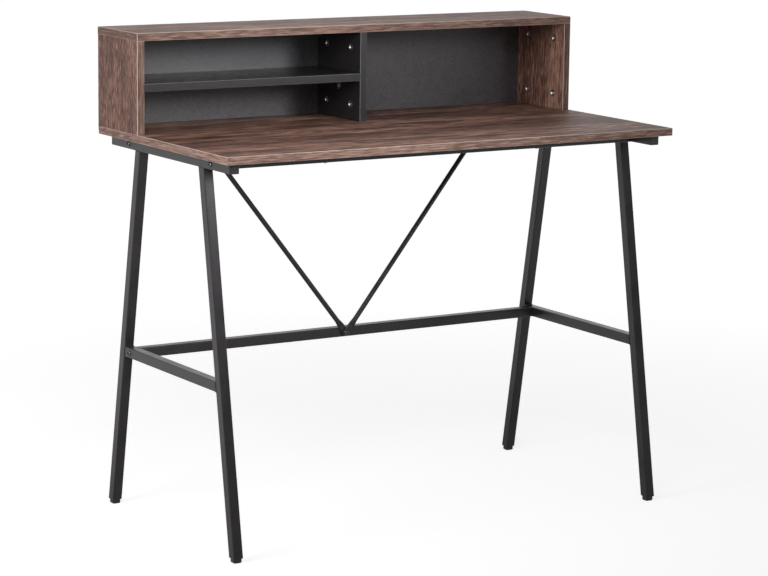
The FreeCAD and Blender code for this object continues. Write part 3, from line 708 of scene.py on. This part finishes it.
def recess_cutters(tree, inputs, recess):
    """Meshes to cut from a head: one hexagon, two crossing bars, or none."""
    radius = inputs["Recess radius"]
    depth = add(tree, "ShaderNodeMath", {0: inputs["Recess depth"], 1: 2.0}, operation="MULTIPLY")
    if recess == "hexagon":
        hexagon_size = {"Vertices": hexagon_sides, "Radius": radius, "Depth": depth}
        return [add(tree, "GeometryNodeMeshCylinder", hexagon_size)]
    if recess == "cross":
        length = add(tree, "ShaderNodeMath", {0: radius, 1: 2.0}, operation="MULTIPLY")
        width = add(tree, "ShaderNodeMath", {0: radius, 1: cross_arm_share}, operation="MULTIPLY")
        shallow = add(tree, "ShaderNodeMath", {0: depth, 1: second_slot_share}, operation="MULTIPLY")
        bars = ((length, width, depth), (width, length, shallow))
        spans = [add(tree, "ShaderNodeCombineXYZ", {"X": x, "Y": y, "Z": z}) for x, y, z in bars]
        return [add(tree, "GeometryNodeMeshCube", {"Size": span}) for span in spans]
    return []


print("sizes of a fitting", len(fitting_sizes))

# %% [markdown]
# A screw or bolt is one shape with a few sizes, so one recipe makes them all. The head is what a
# sphere and a cylinder share, which gives a domed button with an upright rim, and the recess is cut
# into it. The shank is a second shape on the same point, stretched to that fitting's reach.

# %% Screw and bolt trees
round_sides = 40
shank_sides = 24


def fitting_tree(name, recess):
    """A headed fitting on each point; recess is hexagon, cross or plain."""
    tree, inputs = new_tree(name, fitting_sizes)
    height = inputs["Head height"]
    rim_size = {"Vertices": round_sides, "Radius": inputs["Head radius"], "Depth": height}
    rim = add(tree, "GeometryNodeMeshCylinder", rim_size)
    middle = add(tree, "ShaderNodeMath", {0: height, 1: 0.5}, operation="MULTIPLY")
    raised = add(tree, "ShaderNodeCombineXYZ", {"Z": middle})
    rim = add(tree, "GeometryNodeTransform", {0: rim, "Translation": raised})
    ball_size = {"Segments": round_sides, "Rings": round_sides, "Radius": inputs["Dome radius"]}
    ball = add(tree, "GeometryNodeMeshUVSphere", ball_size)
    centre = add(tree, "ShaderNodeMath", {0: height, 1: inputs["Dome radius"]}, operation="SUBTRACT")
    sunk = add(tree, "ShaderNodeCombineXYZ", {"Z": centre})
    ball = add(tree, "GeometryNodeTransform", {0: ball, "Translation": sunk})
    head = add(tree, "GeometryNodeMeshBoolean", {1: rim}, operation="INTERSECT")
    tree.links.new(ball, head.node.inputs[1])
    top = add(tree, "ShaderNodeCombineXYZ", {"Z": height})
    for cutter in recess_cutters(tree, inputs, recess):
        cutter = add(tree, "GeometryNodeTransform", {0: cutter, "Translation": top})
        head = add(tree, "GeometryNodeMeshBoolean", {0: head, 1: cutter}, operation="DIFFERENCE")
    shank_size = {"Vertices": shank_sides, "Radius": inputs["Shank radius"], "Depth": 1.0}
    shank = add(tree, "GeometryNodeMeshCylinder", shank_size)
    shank = add(tree, "GeometryNodeTransform", {0: shank, "Translation": (0, 0, -0.5)})
    turn = outward_turn(tree)
    reach = add(tree, "GeometryNodeInputNamedAttribute", {"Name": "reach"}, data_type="FLOAT")
    stretch = add(tree, "ShaderNodeCombineXYZ", {"X": 1.0, "Y": 1.0, "Z": reach})
    points = inputs["Geometry"]
    heads = {"Points": points, "Instance": head, "Rotation": turn}
    shanks = {"Points": points, "Instance": shank, "Rotation": turn, "Scale": stretch}
    both = add(tree, "GeometryNodeJoinGeometry", {0: add(tree, "GeometryNodeInstanceOnPoints", heads)})
    tree.links.new(add(tree, "GeometryNodeInstanceOnPoints", shanks), both.node.inputs[0])
    close_tree(tree, inputs, both)
    return tree


socket_tree = fitting_tree("socket_bolt", "hexagon")
cross_tree = fitting_tree("cross_screw", "cross")
nail_tree = fitting_tree("flat_nail", "plain")
print("trees", socket_tree.name, cross_tree.name, nail_tree.name)

# %% [markdown]
# A head is given by what a gauge measures: its radius, height, upright rim, recess and shank. The dome
# follows from these. The way that a fitting faces is the same for some groups, and for others it
# depends on the place.

# %% Sizes and facings
shelf_low, shelf_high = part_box("hutch_shelf")
bay_middle = (shelf_low.x + shelf_high.x) / 2
to_front = (0, -1, 0)
to_rear = (0, 1, 0)
to_floor = (0, 0, -1)


def dome_radius(radius, rise):
    """Radius of a dome that rises this much over a round head."""
    return (radius ** 2 + rise ** 2) / (2 * rise)


def head_sizes(radius, height, rim, recess, depth, shank):
    """Sizes of a fitting in millimetres, by the names that its tree gives them."""
    dome = dome_radius(radius, height - rim)
    return dict(zip(fitting_sizes, (radius, height, dome, recess, depth, shank)))


def always(direction):
    """Every fitting of a group faces the same way."""
    return lambda low, high: direction


def sideways_out(low, high):
    """A crossbar bolt faces away from the middle of the desk."""
    return (math.copysign(1, low.x + high.x), 0, 0)


def into_bay(low, high):
    """A bracket screw faces down, or into the bay from its upright."""
    if high.z - low.z > high.x - low.x:
        return to_floor
    return (math.copysign(1, bay_middle - (low.x + high.x) / 2), 0, 0)


print("middle of the shelf's bay", round(bay_middle, 3))

# %% [markdown]
# The frame's bolts are button heads with a hexagon socket. Six hold the crossbars to the side frames
# and face outwards on the rails and rungs. Three hold the brace rods and face the front. The screws
# under the crossbars and on the shelf brackets have a cross. The nails of the back panel have a low
# flat head and are driven from behind.

# %% Bolts, screws and nails
button = head_sizes(radius=5.25, height=3.3, rim=0.8, recess=2.3, depth=2.0, shank=3.0)
pan = head_sizes(radius=4.5, height=2.6, rim=0.6, recess=2.4, depth=1.4, shank=2.0)
small_pan = head_sizes(radius=3.3, height=2.2, rim=0.5, recess=1.9, depth=1.2, shank=1.7)
nail = head_sizes(radius=1.7, height=0.8, rim=0.5, recess=0.0, depth=0.0, shank=0.8)
oxide = (black_oxide, "black_oxide_steel")
zinc = (zinc_plate, "zinc_plated_steel")
fittings = {
    "crossbar_bolts": ("frame_bolts", socket_tree, oxide, button, sideways_out),
    "brace_bolts": ("brace_button_bolts", socket_tree, oxide, button, always(to_front)),
    "tabletop_screws": ("underside_screws", cross_tree, zinc, pan, always(to_floor)),
    "shelf_bracket_screws": ("bracket_pan_screws", cross_tree, zinc, small_pan, into_bay),
    "back_panel_nails": ("panel_nails", nail_tree, zinc, nail, always(to_rear)),
}
for node, (name, tree, finish, sizes, facing_of) in fittings.items():
    seats = seats_of(node, sizes["Head height"] * MM, facing_of)
    piece = grow(name, seats, tree, *finish, sizes)
    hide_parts(node)

# %% [markdown]
# A cam lock is a short zinc drum, let into the board so that only its face shows. The face has a
# raised rim round a dish with a sloping wall, and a deep cross for the screwdriver. The drum is cut
# from a cylinder in that order, and is as deep as the CAD cam.

# %% Cam locks
cam_low, cam_high = solids_of("cam_locks")[0]
cam_depth = (cam_high.x - cam_low.x) / MM
cam_sizes = {"Radius": 7.5, "Depth": cam_depth, "Dish radius": 6.3, "Dish depth": 1.6,
             "Cross length": 8.2, "Cross width": 2.2, "Cross depth": 4.0}


def cam_tree():
    """A cam drum on each point, its face at the point."""
    tree, inputs = new_tree("cam_lock", cam_sizes)
    drum_size = {"Vertices": round_sides, "Radius": inputs["Radius"], "Depth": inputs["Depth"]}
    drum = add(tree, "GeometryNodeMeshCylinder", drum_size)
    middle = add(tree, "ShaderNodeMath", {0: inputs["Depth"], 1: -0.5}, operation="MULTIPLY")
    sunk = add(tree, "ShaderNodeCombineXYZ", {"Z": middle})
    drum = add(tree, "GeometryNodeTransform", {0: drum, "Translation": sunk})
    dish_depth = add(tree, "ShaderNodeMath", {0: inputs["Dish depth"], 1: 2.0}, operation="MULTIPLY")
    flare = add(tree, "ShaderNodeMath", {0: inputs["Dish radius"], 1: inputs["Dish depth"]})
    floor_radius = add(tree, "ShaderNodeMath", {0: inputs["Dish radius"], 1: inputs["Dish depth"]},
                       operation="SUBTRACT")
    dish_size = {"Vertices": round_sides, "Radius Top": flare, "Radius Bottom": floor_radius,
                 "Depth": dish_depth}
    dish = add(tree, "GeometryNodeMeshCone", dish_size)
    lowered = add(tree, "ShaderNodeMath", {0: inputs["Dish depth"], 1: -1.0}, operation="MULTIPLY")
    dish_place = add(tree, "ShaderNodeCombineXYZ", {"Z": lowered})
    cutters = [add(tree, "GeometryNodeTransform", {0: dish, "Translation": dish_place})]
    cross_depth = add(tree, "ShaderNodeMath", {0: inputs["Cross depth"], 1: 2.0}, operation="MULTIPLY")
    length, width = inputs["Cross length"], inputs["Cross width"]
    shallow = add(tree, "ShaderNodeMath", {0: cross_depth, 1: second_slot_share}, operation="MULTIPLY")
    for x, y, z in ((length, width, cross_depth), (width, length, shallow)):
        span = add(tree, "ShaderNodeCombineXYZ", {"X": x, "Y": y, "Z": z})
        cutters.append(add(tree, "GeometryNodeMeshCube", {"Size": span}))
    for cutter in cutters:
        drum = add(tree, "GeometryNodeMeshBoolean", {0: drum, 1: cutter}, operation="DIFFERENCE")
    drums = {"Points": inputs["Geometry"], "Instance": drum, "Rotation": outward_turn(tree)}
    close_tree(tree, inputs, add(tree, "GeometryNodeInstanceOnPoints", drums))
    return tree


def cam_facing(low, high):
    """Cams face inwards on both sides, and left on the divider."""
    return (1 if high.x < shelf_low.x + MM else -1, 0, 0)


cam_seats = seats_of("cam_locks", 0, cam_facing)
cams = grow("cam_lock_drums", cam_seats, cam_tree(), cast_zinc, "zinc_alloy", cam_sizes)
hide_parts("cam_locks")

# %% [markdown]
# The legs are welded to the rails, and the rungs to the legs, before the frame is coated. Each weld
# is a bead that follows the seam with a ripple every few millimetres. The seams are drawn as plain
# lines from the ends of the CAD tubes, and a tree sweeps a round section along them whose size
# swells and shrinks with the distance.

# %% Weld bead tree
bead_sizes = {"Bead radius": 1.5, "Ripple spacing": 2.4}
ripple_share = 0.14
samples_per_ripple = 5
bead_sides = 10


def bead_tree():
    """A rippled bead along every line of a mesh."""
    tree, inputs = new_tree("weld_bead", bead_sizes)
    spacing = inputs["Ripple spacing"]
    path = add(tree, "GeometryNodeMeshToCurve", {0: inputs["Geometry"]})
    gap = add(tree, "ShaderNodeMath", {0: spacing, 1: samples_per_ripple}, operation="DIVIDE")
    path = add(tree, "GeometryNodeResampleCurve", {"Curve": path, "Length": gap}, mode="LENGTH")
    distance = add(tree, "GeometryNodeSplineParameter", output="Length")
    ripples = add(tree, "ShaderNodeMath", {0: distance, 1: spacing}, operation="DIVIDE")
    phase = add(tree, "ShaderNodeMath", {0: ripples, 1: math.tau}, operation="MULTIPLY")
    wave = add(tree, "ShaderNodeMath", {0: phase}, operation="SINE")
    swell = add(tree, "ShaderNodeMath", {0: wave, 1: ripple_share, 2: 1.0}, operation="MULTIPLY_ADD")
    section_size = {"Resolution": bead_sides, "Radius": inputs["Bead radius"]}
    section = add(tree, "GeometryNodeCurvePrimitiveCircle", section_size)
    sweep = {"Curve": path, "Profile Curve": section, "Scale": swell, "Fill Caps": True}
    close_tree(tree, inputs, add(tree, "GeometryNodeCurveToMesh", sweep))
    return tree


weld_tree = bead_tree()
print("tree", weld_tree.name)

# %% [markdown]
# A rung meets its two leaning legs all round, so each of its ends gets a closed line about the tube. A
# leg meets its rail from below. There a bead fits at the front and at the rear, and its line runs
# across the tube, short of the rounded corners.

# %% Weld seams
tube_corner = 2 * MM
level_slack = 0.05 * MM


def ends_at(node, level):
    """Front and rear ends of a node's points at a level."""
    reach = [vert.co.y for vert in nodes[node].data.vertices if abs(vert.co.z - level) < level_slack]
    return min(reach), max(reach)


def rung_seams(node):
    """A closed line round each end of a rung, where it meets the leaning leg."""
    low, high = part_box(node)
    bottom, top = ends_at(node, low.z), ends_at(node, high.z)
    left, right = low.x + tube_corner, high.x - tube_corner
    under, over = low.z + tube_corner, high.z - tube_corner
    outline = [(left, low.z), (right, low.z), (high.x, under), (high.x, over),
               (right, high.z), (left, high.z), (low.x, over), (low.x, under)]
    seams = []
    for end in (0, 1):
        lean = (top[end] - bottom[end]) / (high.z - low.z)
        seams.append([(x, bottom[end] + lean * (z - low.z), z) for x, z in outline])
    return seams


def leg_seams(node):
    """A line under the rail on the front and on the rear of a leg."""
    low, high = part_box(node)
    left, right = low.x + tube_corner, high.x - tube_corner
    return [[(left, y, high.z), (right, y, high.z)] for y in ends_at(node, high.z)]


def seam_mesh(name, loops, lines):
    """Closed and open lines as the edges of one mesh."""
    points, edges = [], []
    for line in loops + lines:
        start, end = len(points), len(points) + len(line) - 1
        points += line
        edges += [(index, index + 1) for index in range(start, end)]
        if line in loops:
            edges.append((end, start))
    mesh = bpy.data.meshes.new(name)
    mesh.from_pydata(points, edges, [])
    return mesh


print("corners left free", tube_corner / MM, "mm")

# %% [markdown]
# Each side frame gets its beads as one piece. They are new pieces that replace nothing, because the
# CAD frame has plain joints.

# %% Weld beads
for side in ("left", "right"):
    loops = rung_seams(f"{side}_side_rung")
    lines = leg_seams(f"front_{side}_leg") + leg_seams(f"rear_{side}_leg")
    seams = seam_mesh(f"{side}_seams", loops, lines)
    grow(f"{side}_weld_beads", seams, weld_tree, coated_steel, "black_powder_coat", bead_sizes)

# %% [markdown]
# Moulded and pressed pieces have no knife edges. The CAD feet, rail caps, shelf brackets and nuts are
# copied, their triangles merged back into flat faces, and their corners rounded by a small bevel. The
# copy stands for the CAD node and lies in the same place.

# %% Rounded plastic and steel pieces
flat_angle = math.radians(1)
sharp_angle = math.radians(20)
shaded_angle = math.radians(40)
bevel_steps = 3
bevel_profile = 0.5
foot_round = 0.7
cap_round = 0.5
bracket_round = 0.3
nut_round = 0.4


def rounded(node, name, radius, finish, slot):
    """A copy of a CAD node with its edges rounded by this radius in millimetres."""
    copy = bmesh.new()
    copy.from_mesh(nodes[node].data)
    bmesh.ops.remove_doubles(copy, verts=copy.verts, dist=merge_distance)
    bmesh.ops.dissolve_limit(copy, angle_limit=flat_angle, verts=copy.verts, edges=copy.edges)
    edges = [edge for edge in copy.edges if edge.calc_face_angle(0) > sharp_angle]
    bmesh.ops.bevel(copy, geom=edges, offset=radius * MM, offset_type="OFFSET", segments=bevel_steps,
                    profile=bevel_profile, affect="EDGES", clamp_overlap=True)
    bmesh.ops.recalc_face_normals(copy, faces=copy.faces)
    mesh = bpy.data.meshes.new(name)
    copy.to_mesh(mesh)
    copy.free()
    mesh.shade_smooth()
    mesh.set_sharp_from_angle(angle=shaded_angle)
    mesh.materials.append(finish)
    piece = bpy.data.objects.new(name, mesh)
    scene.collection.objects.link(piece)
    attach(piece, "root")
    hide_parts(node)
    return piece


for side in ("left", "right"):
    for end in ("front", "rear"):
        rounded(f"{end}_{side}_foot", f"{end}_{side}_glide", foot_round, plastic, "black_plastic")
        rounded(f"{end}_{side}_rail_cap", f"{end}_{side}_end_cap", cap_round, plastic, "black_plastic")
rounded("shelf_brackets", "shelf_angles", bracket_round, *zinc)
rounded("brace_nuts", "brace_hexagon_nuts", nut_round, *oxide)
print("rounded pieces are in place")
